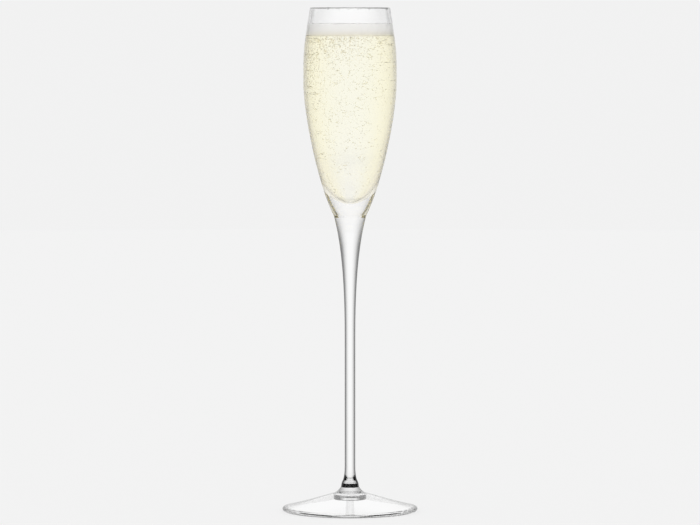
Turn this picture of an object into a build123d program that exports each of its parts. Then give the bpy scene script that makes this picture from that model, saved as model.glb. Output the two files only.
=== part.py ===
"""A stemmed champagne flute with its drink.

Three gathers of clear glass are joined face to face: the blown bowl, the drawn stem and the
applied foot. The bowl holds the champagne, and the mousse floats on it. Every piece is a body
of revolution about Z. Z = 0 is the surface that the flute stands on. Sizes are in millimetres.
"""

import os
from math import cos, radians, sin, tan

from build123d import *

os.makedirs("parts", exist_ok=True)

# Overall
height = 281.0
foot_radius = 37.8

# Levels where the pieces meet
stem_bottom_z = 13.3
stem_top_z = 165.5
wine_level = 264.8
mousse_top = 272.3

# Bowl
bowl_base_radius = 9.2
bowl_flare = (16.9, 179.5)
bowl_bottom_z = 173.5
bowl_bottom_pull = 13.0
belly_radius = 26.05
belly_wall = 1.2
belly_z = 240.0
belly_pull_above = 18.0
belly_pull_below_outside = 20.0
belly_pull_below_inside = 25.0
rim_radius = 21.75
rim_pull = 21.0
lip_radius = 0.65
rim_lean = radians(9)

# Stem: it is slimmest between two levels, and stands on a bead that narrows up to its neck
stem_radius = 2.95
slim_from_z = 25.0
slim_to_z = 97.0
slim_pull_above = 24.5
flare_radius = 4.1
flare_z = 147.0
bead_radius = 5.1
bead_side = (4.9, 14.4)
bead_shoulder = (4.8, 15.8)
bead_neck = (4.12, 16.9)
neck_pull = (3.7, 17.65)
slim_pull_z = 20.0

# Foot: a boss runs out into a cone, and a disc fills the hollow under the boss
boss_foot = (6.1, 12.0)
boss_hollow = (7.3, 10.55)
boss_radius = 9.3
boss_z = 9.8
cone_pull = (11.9, 9.45)
edge_radius = 1.15
edge_slope = radians(12.5)
edge_pull = 15.0
ring_inner_radius = 34.2
hollow_edge = (31.5, 1.1)
hollow_cone = (18.0, 5.0)
disc_radius = 9.2
disc_bottom_z = 4.9
disc_top_z = 8.2
disc_fillet = 0.5

# The lip is half a circle, turned with the wall that leans in towards the rim
lip_z = height - lip_radius
across_lip = lip_radius * cos(rim_lean)
rise_over_lip = lip_radius * sin(rim_lean)
outer_rim = (rim_radius + across_lip, lip_z + rise_over_lip)
inner_rim = (rim_radius - across_lip, lip_z - rise_over_lip)

# The foot's edge is round, from the end of its sloping top to the flat ring that it stands on
ring_outer_radius = foot_radius - edge_radius
edge_top = (
    ring_outer_radius + edge_radius * sin(edge_slope),
    edge_radius + edge_radius * cos(edge_slope),
)


def shoulder(rim, widest_radius):
    """One side of the bowl's wall, from the rim down to the belly."""
    Bezier(
        rim,
        (rim[0] + rim_pull * tan(rim_lean), rim[1] - rim_pull),
        (widest_radius, belly_z + belly_pull_above),
        (widest_radius, belly_z),
    )


def bowl_inside():
    """The bowl's inner wall, from the rim down to the rounded bottom on the axis."""
    widest_radius = belly_radius - belly_wall
    shoulder(inner_rim, widest_radius)
    Bezier(
        (widest_radius, belly_z),
        (widest_radius, belly_z - belly_pull_below_inside),
        (bowl_bottom_pull, bowl_bottom_z),
        (0, bowl_bottom_z),
    )


# Bowl: a thin shell on a solid base, open at the rim
with BuildPart() as bowl:
    with BuildSketch(Plane.XZ):
        with BuildLine():
            Bezier(
                (bowl_base_radius, stem_top_z),
                bowl_flare,
                (belly_radius, belly_z - belly_pull_below_outside),
                (belly_radius, belly_z),
            )
            shoulder(outer_rim, belly_radius)
            ThreePointArc(outer_rim, (rim_radius, height), inner_rim)
            bowl_inside()
            Polyline((0, bowl_bottom_z), (0, stem_top_z), (bowl_base_radius, stem_top_z))
        make_face()
    revolve(axis=Axis.Z)
bowl.part.label = "bowl"
export_step(bowl.part, "parts/bowl.step")


# Stem: slim in the middle, flared up to the bowl, with a bead where it stands on the foot
with BuildPart() as stem:
    with BuildSketch(Plane.XZ):
        with BuildLine():
            Polyline(
                (bowl_base_radius, stem_top_z),
                (0, stem_top_z),
                (0, stem_bottom_z),
                (bead_radius, stem_bottom_z),
            )
            Bezier(
                (bead_radius, stem_bottom_z),
                bead_side,
                bead_shoulder,
                bead_neck,
            )
            Bezier(
                bead_neck,
                neck_pull,
                (stem_radius, slim_pull_z),
                (stem_radius, slim_from_z),
            )
            Line((stem_radius, slim_from_z), (stem_radius, slim_to_z))
            Bezier(
                (stem_radius, slim_to_z),
                (stem_radius, slim_to_z + slim_pull_above),
                (flare_radius, flare_z),
                (bowl_base_radius, stem_top_z),
            )
        make_face()
    revolve(axis=Axis.Z)
stem.part.label = "stem"
export_step(stem.part, "parts/stem.step")


# Foot: a boss under the stem, a hollow cone with a rounded edge, and a solid disc under the boss
with BuildPart() as foot:
    with BuildSketch(Plane.XZ):
        with BuildLine():
            Bezier(
                (bead_radius, stem_bottom_z),
                boss_foot,
                boss_hollow,
                (boss_radius, boss_z),
            )
            Bezier(
                (boss_radius, boss_z),
                cone_pull,
                (edge_top[0] - edge_pull, edge_top[1] + edge_pull * tan(edge_slope)),
                edge_top,
            )
            ThreePointArc(edge_top, (foot_radius, edge_radius), (ring_outer_radius, 0))
            Line((ring_outer_radius, 0), (ring_inner_radius, 0))
            Bezier((ring_inner_radius, 0), hollow_edge, hollow_cone, (disc_radius, disc_top_z))
            FilletPolyline(
                (disc_radius, disc_top_z),
                (disc_radius, disc_bottom_z),
                (0, disc_bottom_z),
                radius=disc_fillet,
            )
            Polyline((0, disc_bottom_z), (0, stem_bottom_z), (bead_radius, stem_bottom_z))
        make_face()
    revolve(axis=Axis.Z)
foot.part.label = "foot"
export_step(foot.part, "parts/foot.step")


# The whole space inside the bowl up to the rim, from which the drink is cut
with BuildPart() as bowl_space:
    with BuildSketch(Plane.XZ):
        with BuildLine():
            bowl_inside()
            Polyline((0, bowl_bottom_z), (0, inner_rim[1]), inner_rim)
        make_face()
    revolve(axis=Axis.Z)


# Champagne: the wine, from the bottom of the bowl up to its level
with BuildPart() as champagne:
    add(bowl_space.part)
    split(bisect_by=Plane.XY.offset(wine_level), keep=Keep.BOTTOM)
champagne.part.label = "champagne"
export_step(champagne.part, "parts/champagne.step")


# Mousse: the froth that floats on the wine
with BuildPart() as mousse:
    add(bowl_space.part)
    split(bisect_by=Plane.XY.offset(wine_level), keep=Keep.TOP)
    split(bisect_by=Plane.XY.offset(mousse_top), keep=Keep.BOTTOM)
mousse.part.label = "mousse"
export_step(mousse.part, "parts/mousse.step")
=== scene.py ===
"""The looks of a champagne flute: hand-made clear glass, champagne full of fine bubbles, and froth.

The bowl, the stem and the foot are the CAD model's own nodes with glass materials. The champagne and the
mousse are replaced by finer pieces. Lengths are in metres, with MM as the unit of the small ones.
"""

import math
import random

import bmesh
import bpy
import numpy as np
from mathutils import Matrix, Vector

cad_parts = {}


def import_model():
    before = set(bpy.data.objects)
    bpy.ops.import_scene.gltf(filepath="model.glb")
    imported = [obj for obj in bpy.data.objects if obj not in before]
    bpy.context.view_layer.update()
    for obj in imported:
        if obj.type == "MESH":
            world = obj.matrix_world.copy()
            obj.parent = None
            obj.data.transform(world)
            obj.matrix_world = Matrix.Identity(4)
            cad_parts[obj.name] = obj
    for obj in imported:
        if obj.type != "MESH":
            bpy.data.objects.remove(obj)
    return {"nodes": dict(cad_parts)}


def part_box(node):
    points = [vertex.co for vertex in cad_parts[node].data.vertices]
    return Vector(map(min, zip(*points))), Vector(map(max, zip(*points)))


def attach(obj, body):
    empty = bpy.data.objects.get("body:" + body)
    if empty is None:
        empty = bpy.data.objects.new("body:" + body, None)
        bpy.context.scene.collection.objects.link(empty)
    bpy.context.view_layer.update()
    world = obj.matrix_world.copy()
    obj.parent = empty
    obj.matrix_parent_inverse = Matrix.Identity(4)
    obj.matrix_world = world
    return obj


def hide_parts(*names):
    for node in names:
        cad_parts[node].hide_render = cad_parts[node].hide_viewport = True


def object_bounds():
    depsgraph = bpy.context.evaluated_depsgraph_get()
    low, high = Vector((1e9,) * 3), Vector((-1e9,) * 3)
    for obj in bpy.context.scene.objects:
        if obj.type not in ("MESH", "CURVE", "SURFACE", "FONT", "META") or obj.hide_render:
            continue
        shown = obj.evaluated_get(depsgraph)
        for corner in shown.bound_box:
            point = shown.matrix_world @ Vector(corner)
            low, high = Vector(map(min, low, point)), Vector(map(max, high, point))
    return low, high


MM = 0.001

# Two places closer than this are the same place.
SAME = 0.001 * MM

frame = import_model()
cad_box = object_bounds()

# Places that the CAD model gives.
rim_height = cad_box[1].z
foot_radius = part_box("foot")[1].x
stem_foot, stem_top = (corner.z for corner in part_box("stem"))
wine_bottom, wine_level = (corner.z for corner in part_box("champagne"))
froth_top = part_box("mousse")[1].z

# Stretches of the glass with painted shade of their own at the edges: the fire-polished lip, the bowl's solid
# base, the flare at the top of the stem, the bead with its band of painted shade and the neck over it, the
# boss, the side of the disc under the boss, and the underside of the foot's rounded edge.
lip_height = 0.9 * MM
base_top = 176 * MM
flare_foot = 148 * MM
neck_top = 19.8 * MM
bead_top = 17.2 * MM
# The height of the band of painted shade at the bead's foot.
painted_shade_band_height = 0.7 * MM
boss_radius = 9.3 * MM
disc_radius = 9.2 * MM
disc_top = 8.2 * MM
edge_width = 1.15 * MM
edge_height = 0.6 * MM

# Refractive indices, and the share of light that the fused face under the bead lets through, which makes that
# face a sheet of painted shade.
GLASS_INDEX = 1.52
WINE_INDEX = 1.34
painted_shade_joint_light = 0.05

# The glass has long faint waves. The froth is pitted with fine cells.
wave_length = 14 * MM
froth_cell = 0.7 * MM
froth_pit = 0.2 * MM

# Fits between the pieces.
wine_into_glass = 0.05 * MM
froth_into_glass = 0.04 * MM
froth_into_wine = 0.04 * MM

# The wine climbs the glass round its edge. The steps are where its curved surface is drawn, as shares of
# its reach inward from the glass.
meniscus_rise = 0.45 * MM
meniscus_reach = 0.7 * MM
meniscus_steps = [0.12, 0.26, 0.42, 0.6, 0.85, 1.15, 1.6, 2.2, 3.2, 4.8]

# The bubbles. They come in short slanting rows, up to a slant in radians from upright. They crowd under the
# froth and on the left, each with its own depth under the wine's level. A power under 1 draws more rows
# near the top. A row goes round the glass no tighter than at the tightest radius.
bubble_count = 7000
bubble_seed = 7
height_power = 0.6
clinging_share = 0.6
crowd_depth = 8 * MM
left_depth = 55 * MM
row_lengths = (1, 2, 3, 5, 7)
row_slant = 1.6
row_step = (0.4 * MM, 0.9 * MM)
tightest_radius = 3 * MM
smallest_bubble = 0.08 * MM
bubble_spread = 0.20 * MM
large_bubble = 0.26 * MM
gap_to_glass = 0.15 * MM
gap_to_froth = 0.2 * MM
gap_to_bottom = 1 * MM

# The domes on top of the froth. They rise from a little below the froth's top, squashed to a share of their
# height.
dome_count = 900
dome_seed = 11
smallest_dome = 0.35 * MM
dome_spread = 0.9 * MM
dome_sink = 0.6 * MM
dome_squash = 0.6

# The camera stands at the height of the rim and looks down at the middle of the flute. Its lens and its
# sensor are in millimetres.
camera_distance = 2.35
aim_height = 0.139
camera_lens = 217.1
sensor_width = 36
camera_reach = 20

# The studio. The camera sees one even pale grey. The glass gathers light from below and from all round the
# horizon, and darkness from overhead, which draws its outlines. The froth and the floor gather soft light
# that is strongest from the side. Where a light changes is the height of its direction: 0 is the horizon
# and 1 is straight up.
backdrop_grey = 0.884
band_light = 0.96
above_light = 0.02
band_end = 0.70
dark_start = 0.90
soft_side_light = 1.95
soft_top_light = 0.80
soft_side_end = 0.2
floor_radius = 3.0
floor_gap = 0.2 * MM
floor_diffuse = 0.15
floor_glow = 0.725


# ---------------------------------------------------------------------------------------------------------
# Meshes
# ---------------------------------------------------------------------------------------------------------

def seam_points(node):
    """The radius and height of the points on a turned CAD node's seam, each once, from low to high."""
    corners = [v.co for v in frame["nodes"][node].data.vertices]
    seam = {(round(c.x, 7), round(c.z, 7)) for c in corners if abs(c.y) < SAME and c.x > -SAME}
    return sorted(seam, key=lambda point: (point[1], point[0]))


def curve_through(points, count):
    """The given number of points, evenly spaced on a smooth (Catmull-Rom) curve through a row of points."""
    p = np.array(points)
    p = np.vstack([2 * p[0] - p[1], p, 2 * p[-1] - p[-2]])
    steps = np.linspace(0, 1, num=24, endpoint=False)
    fine = []
    for a, b, c, d in zip(p[:-3], p[1:-2], p[2:-1], p[3:]):
        for t in steps:
            fine.append(0.5 * (2 * b + (c - a) * t + (2 * a - 5 * b + 4 * c - d) * t**2
                               + (3 * b - 3 * c + d - a) * t**3))
    fine = np.array([*fine, p[-2]])
    along = np.concatenate([[0], np.cumsum(np.linalg.norm(np.diff(fine, axis=0), axis=1))])
    places = np.linspace(0, along[-1], count)
    return np.column_stack([np.interp(places, along, fine[:, k]) for k in (0, 1)])


def pushed_out(outline, distance):
    """An outline of radius and height moved outward by a distance along its normals."""
    along = np.gradient(outline, axis=0)
    along /= np.linalg.norm(along, axis=1)[:, None]
    moved = outline + distance * np.column_stack([along[:, 1], -along[:, 0]])
    moved[:, 0] = np.maximum(moved[:, 0], 0)
    return moved


def radius_at(outline, height):
    """The radius of an outline at a height."""
    return float(np.interp(height, outline[:, 1], outline[:, 0]))


def up_to(outline, height):
    """The part of an outline below a height, ending on it."""
    smallest_step = 0.01 * MM
    below = outline[outline[:, 1] < height - smallest_step]
    return np.vstack([below, [radius_at(outline, height), height]])


def turned(bm, outline, around):
    """Adds a turned surface to bm. The outline runs from axis to axis, with the outside on its right."""
    angles = [2 * math.pi * k / around for k in range(around)]
    rings = []
    for radius, height in outline:
        if radius < SAME:
            rings.append([bm.verts.new((0, 0, height))])
        else:
            rings.append([bm.verts.new((radius * math.cos(a), radius * math.sin(a), height)) for a in angles])
    for low, high in zip(rings, rings[1:]):
        for k in range(around):
            n = (k + 1) % around
            if len(low) == 1:
                corners = (low[0], high[n], high[k])
            elif len(high) == 1:
                corners = (low[k], low[n], high[0])
            else:
                corners = (low[k], low[n], high[n], high[k])
            bm.faces.new(corners)


def piece(name, bm, materials, node):
    """Makes a smooth object of a bmesh with its materials, which rides on the flute and stands for a CAD
    node.
    """
    mesh = bpy.data.meshes.new(name)
    bm.to_mesh(mesh)
    bm.free()
    for material in materials:
        mesh.materials.append(material)
    mesh.shade_smooth()
    made = bpy.data.objects.new(name, mesh)
    bpy.context.scene.collection.objects.link(made)
    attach(made, "root")
    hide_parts(node)


# ---------------------------------------------------------------------------------------------------------
# Parts of materials
# ---------------------------------------------------------------------------------------------------------

def new_material(name):
    """A material with an empty node tree and its output node."""
    material = bpy.data.materials.new(name)
    material.use_nodes = True
    tree = material.node_tree
    tree.nodes.clear()
    return material, tree, tree.nodes.new("ShaderNodeOutputMaterial")


def principled(tree, output, roughness, index=None):
    """The surface's shader. With a refractive index, light passes through it."""
    shader = tree.nodes.new("ShaderNodeBsdfPrincipled")
    shader.inputs["Roughness"].default_value = roughness
    if index:
        shader.inputs["Transmission Weight"].default_value = 1
        shader.inputs["IOR"].default_value = index
    tree.links.new(shader.outputs[0], output.inputs["Surface"])
    return shader


def greys(*stops):
    """Ramp stops of a neutral grey, from pairs of place and brightness."""
    return [(place, (grey, grey, grey)) for place, grey in stops]


def ramp(tree, factor, stops, smooth=False):
    """A colour ramp fed by a factor, with stops as (place, colour)."""
    node = tree.nodes.new("ShaderNodeValToRGB")
    elements = node.color_ramp.elements
    node.color_ramp.interpolation = "EASE" if smooth else "LINEAR"
    while len(elements) < len(stops):
        elements.new(0.5)
    for element, (place, colour) in zip(elements, stops):
        element.position = place
        element.color = (*colour, 1)
    tree.links.new(factor, node.inputs[0])
    return node.outputs[0]


def facing(tree, level=False):
    """0 where a surface faces the eye and 1 where it is seen edge on. Level leaves the wall's slope out."""
    node = tree.nodes.new("ShaderNodeLayerWeight")
    node.inputs["Blend"].default_value = 0.5
    if level:
        surface = tree.nodes.new("ShaderNodeNewGeometry")
        flat = tree.nodes.new("ShaderNodeVectorMath")
        flat.operation = "MULTIPLY"
        flat.inputs[1].default_value = (1, 1, 0)
        unit = tree.nodes.new("ShaderNodeVectorMath")
        unit.operation = "NORMALIZE"
        tree.links.new(surface.outputs["Normal"], flat.inputs[0])
        tree.links.new(flat.outputs[0], unit.inputs[0])
        tree.links.new(unit.outputs[0], node.inputs["Normal"])
    return node.outputs["Facing"]


def height_of(tree, where):
    """The height of a place over the table."""
    place = tree.nodes.new("ShaderNodeSeparateXYZ")
    tree.links.new(where.outputs["Object"], place.inputs[0])
    return place.outputs["Z"]


def by_height(tree, where, low, high, stops):
    """A colour that changes with height, with stops from 0 at the low end to 1 at the high end."""
    share = tree.nodes.new("ShaderNodeMapRange")
    share.inputs["From Min"].default_value = low
    share.inputs["From Max"].default_value = high
    tree.links.new(height_of(tree, where), share.inputs["Value"])
    return ramp(tree, share.outputs[0], stops)


def mixed(tree, kind, first, second, factor=None):
    """Two colours mixed fully, or by a factor."""
    node = tree.nodes.new("ShaderNodeMix")
    node.data_type = "RGBA"
    node.blend_type = kind
    node.inputs["Factor"].default_value = 1
    if factor:
        tree.links.new(factor, node.inputs["Factor"])
    colours = [socket for socket in node.inputs if socket.type == "RGBA"]
    tree.links.new(first, colours[0])
    tree.links.new(second, colours[1])
    return [socket for socket in node.outputs if socket.type == "RGBA"][0]


def above(tree, where, height, low, high):
    """One colour below a height over the table, and another above it."""
    higher = tree.nodes.new("ShaderNodeMath")
    higher.operation = "GREATER_THAN"
    higher.inputs[1].default_value = height
    tree.links.new(height_of(tree, where), higher.inputs[0])
    return mixed(tree, "MIX", low, high, higher.outputs[0])


def bumps(tree, shader, relief, depth, strength=1, pits=False):
    """Small bumps on a surface, or pits, as a texture's relief says."""
    bump = tree.nodes.new("ShaderNodeBump")
    bump.inputs["Strength"].default_value = strength
    bump.inputs["Distance"].default_value = depth
    bump.invert = pits
    tree.links.new(relief, bump.inputs["Height"])
    tree.links.new(bump.outputs[0], shader.inputs["Normal"])


# ---------------------------------------------------------------------------------------------------------
# Glass
# ---------------------------------------------------------------------------------------------------------

def glass(name, through, mirror_shade, wave_height, level=False, softer=None, higher=(), painted_shade_band=None):
    """Clear glass with the faint waves of hand-drawn glass. Its edges are painted darker, a painted shade
    that stands in for a studio bright behind the glass and dark beside it: one ramp paints shade into the
    light through it, one paints shade into what it mirrors.

    Level leaves the wall's slope out of the first ramp. Softer weakens the painted shade by height, higher
    replaces it above each of some heights, and a band of painted shade dims it by height.
    """
    material, tree, output = new_material(name)
    shader = principled(tree, output, roughness=0, index=GLASS_INDEX)
    where = tree.nodes.new("ShaderNodeTexCoord")
    edge = facing(tree, level)
    if softer:
        share = tree.nodes.new("ShaderNodeMath")
        share.operation = "MULTIPLY"
        tree.links.new(edge, share.inputs[0])
        tree.links.new(by_height(tree, where, *softer), share.inputs[1])
        edge = share.outputs[0]
    # Painted shade: the glass's colour darkens where it is seen edge on.
    painted_edge_shade = ramp(tree, edge, greys(*through))
    for height, stops in higher:
        painted_edge_shade = above(tree, where, height, painted_edge_shade, ramp(tree, edge, greys(*stops)))
    # A band of painted shade darkens the glass by height.
    if painted_shade_band:
        painted_edge_shade = mixed(tree, "MULTIPLY", painted_edge_shade, by_height(tree, where, *painted_shade_band))
    tree.links.new(painted_edge_shade, shader.inputs["Base Color"])
    # Painted shade on the reflections: they darken where the glass is seen edge on.
    tree.links.new(ramp(tree, facing(tree), greys(*mirror_shade)), shader.inputs["Specular Tint"])
    waves = tree.nodes.new("ShaderNodeTexNoise")
    waves.inputs["Scale"].default_value = 1 / wave_length
    waves.inputs["Detail"].default_value = 1
    tree.links.new(where.outputs["Object"], waves.inputs["Vector"])
    bumps(tree, shader, waves.outputs["Fac"], depth=wave_height)
    return material


def fused(name, light):
    """The face where two gathers of glass are fused: a share of the light passes straight through. A small
    share makes the face a sheet of painted shade.
    """
    material, tree, output = new_material(name)
    shader = tree.nodes.new("ShaderNodeBsdfTransparent")
    shader.inputs["Color"].default_value = (light, light, light, 1)
    tree.links.new(shader.outputs[0], output.inputs["Surface"])
    return material


def paint(node, *coats):
    """Gives a CAD node its materials. A coat is a material and a test of a face; a later coat goes over."""
    mesh = frame["nodes"][node].data
    mesh.materials.clear()
    for index, (material, test) in enumerate(coats):
        mesh.materials.append(material)
        for polygon in mesh.polygons:
            if test(polygon):
                polygon.material_index = index


def everywhere(polygon):
    """A test that every face passes."""
    return True


def lower_than(height):
    """A test for the faces below a height."""
    return lambda polygon: polygon.center.z < height


def at_level(height):
    """A test for the level faces at a height."""
    return lambda polygon: abs(polygon.normal.z) > 0.999 and abs(polygon.center.z - height) < SAME


def from_axis(polygon):
    """How far the middle of a face is from the axis."""
    return math.hypot(*polygon.center.xy)


def on_lip(polygon):
    return polygon.center.z > rim_height - lip_height


def on_boss(polygon):
    return polygon.center.z > disc_top and from_axis(polygon) < boss_radius


def on_disc(polygon):
    """The disc's side, without its underside."""
    slack = 0.1 * MM
    within = polygon.center.z < disc_top and from_axis(polygon) < disc_radius + slack
    return within and abs(polygon.normal.z) < 0.99


def under_edge(polygon):
    return from_axis(polygon) > foot_radius - edge_width and polygon.center.z < edge_height


def lip_glass():
    """The fire-polished lip's glass, which is also the glass under the foot's rounded edge. Its edges are
    painted much darker, a painted shade.
    """
    return glass("rim_glass",
                 [(0, 0.8), (0.1, 0.5), (0.3, 0.25), (0.6, 0.1), (1, 0.05)],
                 [(0, 0.6), (0.2, 0.3), (0.4, 0.1), (1, 0.05)], wave_height=0.01 * MM)


def bowl(lip, clear_joint):
    """The bowl. Its edges are painted darker, with a different painted shade beside the wine, beside the
    froth and over the froth.
    """
    beside_froth = [(0, 1), (0.06, 0.99), (0.11, 0.96), (0.27, 0.86), (0.41, 0.76), (0.5, 0.64), (0.61, 0.5),
                    (0.74, 0.27), (1, 0.2)]
    over_froth = [(0, 1), (0.06, 0.99), (0.14, 0.96), (0.25, 0.93), (0.33, 0.9), (0.5, 0.89), (0.6, 0.82),
                  (0.68, 0.58), (0.75, 0.33), (1, 0.2)]
    wall = glass("bowl_glass",
                 [(0, 1), (0.26, 1), (0.36, 0.96), (0.42, 0.91), (0.5, 0.83), (0.575, 0.72), (0.65, 0.52),
                  (0.75, 0.38), (1, 0.28)],
                 [(0, 1), (0.24, 1), (0.27, 0.6), (0.5, 0.6), (0.75, 0.45), (1, 0.3)],
                 wave_height=0.03 * MM, level=True,
                 higher=[(wine_level, beside_froth), (froth_top, over_froth)])
    base = glass("base_glass",
                 [(0, 1), (0.08, 0.97), (0.2, 0.86), (0.35, 0.68), (0.5, 0.5), (0.75, 0.35), (1, 0.2)],
                 [(0, 1), (0.24, 1), (0.27, 0.5), (1, 0.2)], wave_height=0.02 * MM, level=True)
    paint("bowl", (wall, everywhere), (base, lower_than(base_top)), (lip, on_lip),
          (clear_joint, at_level(stem_top)))


def stem(clear_joint, painted_shade_joint):
    """The stem, with its neck and its bead, with edges painted darker. The bead ends in a band of painted
    shade over the joint.
    """
    shaft = glass("stem_glass",
                  [(0, 1), (0.015, 1), (0.07, 0.87), (0.12, 0.75), (0.17, 0.60), (0.3, 0.25), (0.4, 0.12),
                   (0.6, 0.03), (1, 0)],
                  [(0, 1), (0.24, 1), (0.27, 0.1), (1, 0)], wave_height=0.01 * MM, level=True,
                  softer=(flare_foot, stem_top, greys((0, 1), (1, 0.45))))
    neck = glass("neck_glass",
                 [(0, 1), (0.07, 0.95), (0.13, 0.35), (0.18, 0), (1, 0)],
                 [(0, 0.5), (0.2, 0.1), (0.25, 0.01), (1, 0)], wave_height=0.01 * MM)
    # The bead's glass, with a band of painted shade at its foot.
    bead = glass("bead_glass",
                 [(0, 1), (0.15, 0.9), (0.3, 0.3), (0.42, 0.02), (1, 0)],
                 [(0, 0.3), (0.2, 0.1), (0.25, 0.01), (1, 0)], wave_height=0.01 * MM,
                 painted_shade_band=(stem_foot, stem_foot + painted_shade_band_height, greys((0, 0), (0.7, 0), (1, 1))))
    paint("stem", (shaft, everywhere), (neck, lower_than(neck_top)), (bead, lower_than(bead_top)),
          (clear_joint, at_level(stem_top)), (painted_shade_joint, at_level(stem_foot)))


def foot(lip, painted_shade_joint):
    """The foot: its hollow cone, the boss, the disc under the boss and the rounded edge, each with edges
    painted darker.
    """
    cone = glass("foot_glass",
                 [(0, 1), (0.7, 1), (0.79, 0.95), (0.84, 0.6), (0.88, 0.25), (0.92, 0.02), (1, 0)],
                 [(0, 1), (0.24, 1), (0.28, 0.05), (0.5, 0.1), (0.65, 0.9), (0.78, 0.7), (0.84, 0.3),
                  (0.9, 0.05), (1, 0)],
                 wave_height=0.02 * MM)
    boss = glass("boss_glass",
                 [(0, 1), (0.4, 0.9), (0.6, 0.7), (0.75, 0.3), (1, 0.05)],
                 [(0, 1), (0.2, 1), (0.24, 0.03), (1, 0.03)], wave_height=0.02 * MM)
    disc = glass("disc_glass",
                 [(0, 1), (0.05, 0.85), (0.12, 0.35), (0.22, 0.02), (1, 0)],
                 [(0, 0.4), (0.2, 0.1), (0.24, 0.02), (1, 0)], wave_height=0.01 * MM)
    paint("foot", (cone, everywhere), (boss, on_boss), (disc, on_disc), (lip, under_edge),
          (painted_shade_joint, at_level(stem_foot)))


# ---------------------------------------------------------------------------------------------------------
# Champagne
# ---------------------------------------------------------------------------------------------------------

def wine_material():
    """Pale yellow wine, which gathers a deeper straw colour towards its edges."""
    material, tree, output = new_material("champagne")
    shader = principled(tree, output, roughness=0, index=WINE_INDEX)
    stops = [(0.0, (1, 1, 1)), (0.06, (1, 0.99, 0.92)), (0.12, (1, 0.97, 0.84)), (0.2, (1, 0.965, 0.80)),
             (0.25, (1, 0.96, 0.84))]
    tree.links.new(ramp(tree, facing(tree, level=True), stops), shader.inputs["Base Color"])
    absorption = tree.nodes.new("ShaderNodeVolumeAbsorption")
    absorption.inputs["Color"].default_value = (0.97, 0.93, 0.50, 1)
    absorption.inputs["Density"].default_value = 7
    tree.links.new(absorption.outputs[0], output.inputs["Volume"])
    return material


def bubble_material():
    """The wall of a gas bubble in the wine. Its edges are painted darker and warmer, a painted shade, and its
    reflections are tinted warm.
    """
    material, tree, output = new_material("bubble_wall")
    shader = principled(tree, output, roughness=0, index=WINE_INDEX)
    shader.inputs["Specular Tint"].default_value = (1, 0.8, 0.42, 1)
    # Painted shade: the bubble's edges darken where it is seen edge on.
    stops = [(0.0, (1, 1, 1)), (0.25, (0.97, 0.93, 0.8)), (0.6, (0.75, 0.62, 0.35))]
    tree.links.new(ramp(tree, facing(tree), stops), shader.inputs["Base Color"])
    return material


def wall_outline():
    """The bowl's inner wall, from the sides of the CAD champagne and mousse, from bottom to froth top."""
    inside_wall = 10 * MM
    side = [point for point in seam_points("champagne") if point[1] < wine_level - SAME]
    high = [point for point in seam_points("mousse") if point[0] > inside_wall]
    return curve_through([*side, *high], count=100)


def wine_edge(outermost, sunk=0):
    """Points on the wine's surface where it climbs the glass, inward from an outermost radius."""
    inward = meniscus_reach * np.array(meniscus_steps)
    height = wine_level + meniscus_rise * np.exp(-inward / meniscus_reach) - sunk
    return list(zip(outermost - inward, height))


def bubble_places(wall):
    """Centres and radii of the bubbles. Most rows cling to the wall, and the rest rise freely."""
    draw = random.Random(bubble_seed)
    bubbles = []
    while len(bubbles) < bubble_count:
        height = wine_bottom + (wine_level - wine_bottom) * draw.random() ** height_power
        angle = 2 * math.pi * draw.random()
        clinging = draw.random() < clinging_share
        inward = 0 if clinging else 1 - math.sqrt(draw.random())
        depth = wine_level - height
        left = 0.5 - 0.5 * math.cos(angle) * (1 - inward)
        chance = (0.9 * (0.3 + left) * math.exp(-depth / crowd_depth)
                  + 0.9 * left**2 * math.exp(-depth / left_depth) + 0.1)
        if draw.random() > chance:
            continue
        slant = draw.uniform(-row_slant, row_slant)
        for _ in range(draw.choice(row_lengths)):
            size = smallest_bubble + bubble_spread * draw.random() ** 2
            inner = radius_at(wall, height)
            radius = (inner - size - gap_to_glass) * (1 - inward)
            if radius > 0 and wine_bottom + gap_to_bottom < height < wine_level - size - gap_to_froth:
                bubbles.append((radius * math.cos(angle), radius * math.sin(angle), height, size))
            step = draw.uniform(*row_step)
            height += step * math.cos(slant)
            angle += step * math.sin(slant) / max(inner, tightest_radius)
    return np.array(bubbles)


def hollows(bubbles):
    """Meshes of round hollows whose faces look inward, with rounder ones for the bubbles that are large."""
    large = bubbles[:, 3] > large_bubble
    made = []
    for some, subdivisions in ((bubbles[large], 2), (bubbles[~large], 1)):
        bm = bmesh.new()
        bmesh.ops.create_icosphere(bm, subdivisions=subdivisions, radius=1)
        ball = np.array([vertex.co for vertex in bm.verts])
        faces = np.array([[vertex.index for vertex in reversed(face.verts)] for face in bm.faces])
        bm.free()
        corners = some[:, None, :3] + some[:, None, 3:] * ball
        faces = faces + len(ball) * np.arange(len(some))[:, None, None]
        mesh = bpy.data.meshes.new("hollows")
        mesh.from_pydata(corners.reshape(-1, 3).tolist(), [], faces.reshape(-1, 3).tolist())
        mesh.polygons.foreach_set("material_index", [1] * len(mesh.polygons))
        made.append(mesh)
    return made


def champagne():
    """The wine with its bubbles. It reaches a hair into the glass, so that no film of air shows."""
    wall = pushed_out(wall_outline(), wine_into_glass)
    wall[0, 0] = 0
    side = up_to(wall, wine_level + meniscus_rise)
    edge = wine_edge(side[-1, 0])
    middle = [(edge[-1][0] * share, wine_level) for share in (0.75, 0.5, 0.25, 0)]
    bm = bmesh.new()
    turned(bm, [*side, *edge, *middle], around=144)
    for mesh in hollows(bubble_places(wall)):
        bm.from_mesh(mesh)
    piece("wine", bm, [wine_material(), bubble_material()], node="champagne")


# ---------------------------------------------------------------------------------------------------------
# Mousse
# ---------------------------------------------------------------------------------------------------------

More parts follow.
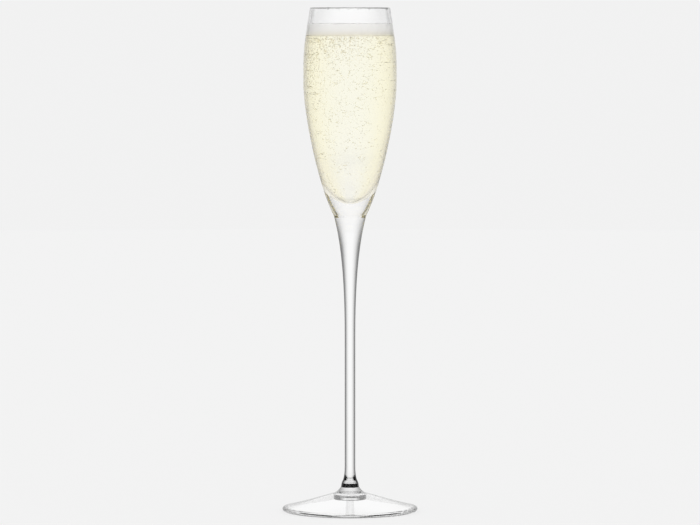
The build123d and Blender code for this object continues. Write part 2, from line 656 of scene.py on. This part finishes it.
def froth_material():
    """White froth of fine bubbles, which turns greyer and then yellow towards the wine."""
    material, tree, output = new_material("mousse")
    shader = principled(tree, output, roughness=0.6)
    where = tree.nodes.new("ShaderNodeTexCoord")
    stops = [(0.0, (0.97, 0.92, 0.70)), (0.2, (0.92, 0.89, 0.80)), (0.5, (0.96, 0.95, 0.92)),
             (1.0, (0.98, 0.975, 0.96))]
    tree.links.new(by_height(tree, where, wine_level, froth_top, stops), shader.inputs["Base Color"])
    cells = tree.nodes.new("ShaderNodeTexVoronoi")
    cells.inputs["Scale"].default_value = 1 / froth_cell
    tree.links.new(where.outputs["Object"], cells.inputs["Vector"])
    bumps(tree, shader, cells.outputs["Distance"], depth=froth_pit, strength=0.4, pits=True)
    return material


def raise_domes(bm, width):
    """Makes a cobbled surface of bubble domes out of the froth's flat top."""
    draw = random.Random(dome_seed)
    domes = []
    for _ in range(dome_count):
        angle = 2 * math.pi * draw.random()
        radius = width * math.sqrt(draw.random())
        size = smallest_dome + dome_spread * draw.random() ** 2
        domes.append((radius * math.cos(angle), radius * math.sin(angle), size))
    x, y, sizes = np.array(domes).T
    for vertex in bm.verts:
        if vertex.co.z > froth_top - SAME:
            away = np.hypot(x - vertex.co.x, y - vertex.co.y)
            rise = np.sqrt(np.maximum(sizes**2 - away**2, 0)).max()
            vertex.co.z = froth_top - dome_sink + dome_squash * rise


def mousse():
    """The froth: a thick wet disc on the wine and against the glass, with a cobbled top."""
    wall = pushed_out(wall_outline(), froth_into_glass)
    heights = np.linspace(wine_level + meniscus_rise - froth_into_wine, froth_top, num=24)
    side = [(radius_at(wall, height), height) for height in heights]
    edge = wine_edge(side[0][0], sunk=froth_into_wine)[::-1]
    under = [(edge[0][0] * share, wine_level - froth_into_wine) for share in (0, 0.5)]
    over = [(side[-1][0] * share, froth_top) for share in np.linspace(0.99, 0, num=60)]
    bm = bmesh.new()
    turned(bm, [*under, *edge, *side, *over], around=288)
    raise_domes(bm, side[-1][0])
    piece("froth", bm, [froth_material()], node="mousse")


# ---------------------------------------------------------------------------------------------------------
# Studio
# ---------------------------------------------------------------------------------------------------------

def grey_sky(tree, grey):
    """A light that is the same grey from every direction."""
    sky = tree.nodes.new("ShaderNodeBackground")
    sky.inputs["Color"].default_value = (grey, grey, grey, 1)
    return sky


def domed_sky(tree, share, side_end, side_light, top_start, top_light):
    """A light with one brightness from below and from the side, and another from the top. The share says how
    far up a direction points, from 0 straight down to 1 straight up."""
    stops = greys(*((0.5 + 0.5 * height, light) for height, light in (
        (-1, side_light), (side_end, side_light), (top_start, top_light))))
    sky = tree.nodes.new("ShaderNodeBackground")
    tree.links.new(ramp(tree, share, stops, smooth=True), sky.inputs["Color"])
    return sky


def either(tree, choice, no, yes):
    """One shader where a choice is 0, and another where it is 1."""
    mix = tree.nodes.new("ShaderNodeMixShader")
    tree.links.new(choice, mix.inputs["Fac"])
    tree.links.new(no.outputs[0], mix.inputs[1])
    tree.links.new(yes.outputs[0], mix.inputs[2])
    return mix


def world():
    """Light with a dark top for glass, soft light for what is matt, and a plain grey for the camera."""
    made = bpy.data.worlds.new("studio")
    bpy.context.scene.world = made
    made.use_nodes = True
    tree = made.node_tree
    tree.nodes.clear()
    where = tree.nodes.new("ShaderNodeTexCoord")
    direction = tree.nodes.new("ShaderNodeSeparateXYZ")
    tree.links.new(where.outputs["Generated"], direction.inputs[0])
    share = tree.nodes.new("ShaderNodeMapRange")
    share.inputs["From Min"].default_value = -1
    tree.links.new(direction.outputs["Z"], share.inputs["Value"])
    for_glass = domed_sky(tree, share.outputs[0], band_end, band_light, dark_start, above_light)
    for_matt = domed_sky(tree, share.outputs[0], soft_side_end, soft_side_light, 1, soft_top_light)
    path = tree.nodes.new("ShaderNodeLightPath")
    light = either(tree, path.outputs["Diffuse Depth"], for_glass, for_matt)
    seen = either(tree, path.outputs["Is Camera Ray"], light, grey_sky(tree, backdrop_grey))
    output = tree.nodes.new("ShaderNodeOutputWorld")
    tree.links.new(seen.outputs[0], output.inputs["Surface"])


def floor():
    """A pale lit table top. The glass doesn't show it, and gathers the studio's own light instead."""
    bm = bmesh.new()
    bmesh.ops.create_circle(bm, cap_ends=True, segments=128, radius=floor_radius)
    mesh = bpy.data.meshes.new("floor")
    bm.to_mesh(mesh)
    bm.free()
    made = bpy.data.objects.new("floor", mesh)
    made.location.z = cad_box[0].z - floor_gap
    bpy.context.scene.collection.objects.link(made)
    material, tree, output = new_material("floor")
    diffuse = tree.nodes.new("ShaderNodeBsdfDiffuse")
    diffuse.inputs["Color"].default_value = (floor_diffuse, floor_diffuse, floor_diffuse, 1)
    glow = tree.nodes.new("ShaderNodeEmission")
    glow.inputs["Strength"].default_value = floor_glow
    both = tree.nodes.new("ShaderNodeAddShader")
    tree.links.new(diffuse.outputs[0], both.inputs[0])
    tree.links.new(glow.outputs[0], both.inputs[1])
    tree.links.new(both.outputs[0], output.inputs["Surface"])
    mesh.materials.append(material)
    made.visible_glossy = False
    made.visible_transmission = False
    made.visible_diffuse = False


def camera():
    """The camera at the photograph's angle."""
    data = bpy.data.cameras.new("camera")
    data.lens = camera_lens
    data.sensor_width = sensor_width
    data.clip_end = camera_reach
    made = bpy.data.objects.new("camera", data)
    made.location = (0, -camera_distance, rim_height)
    aim = Vector((0, 0, aim_height))
    made.rotation_euler = (aim - made.location).to_track_quat("-Z", "Y").to_euler()
    bpy.context.scene.collection.objects.link(made)
    bpy.context.scene.camera = made


camera()
world()
floor()

lip = lip_glass()
clear_joint = fused("clear_joint", 1)
# A sheet of painted shade where the stem meets the foot.
painted_shade_joint = fused("painted_shade_joint", painted_shade_joint_light)
bowl(lip, clear_joint)
stem(clear_joint, painted_shade_joint)
foot(lip, painted_shade_joint)
champagne()
mousse()

# A ray crosses many walls of glass and bubbles, so it is followed a long way.
scene = bpy.context.scene
scene.view_settings.view_transform = "Standard"
scene.cycles.max_bounces = 40
scene.cycles.transmission_bounces = 40
scene.cycles.glossy_bounces = 16
scene.cycles.transparent_max_bounces = 24
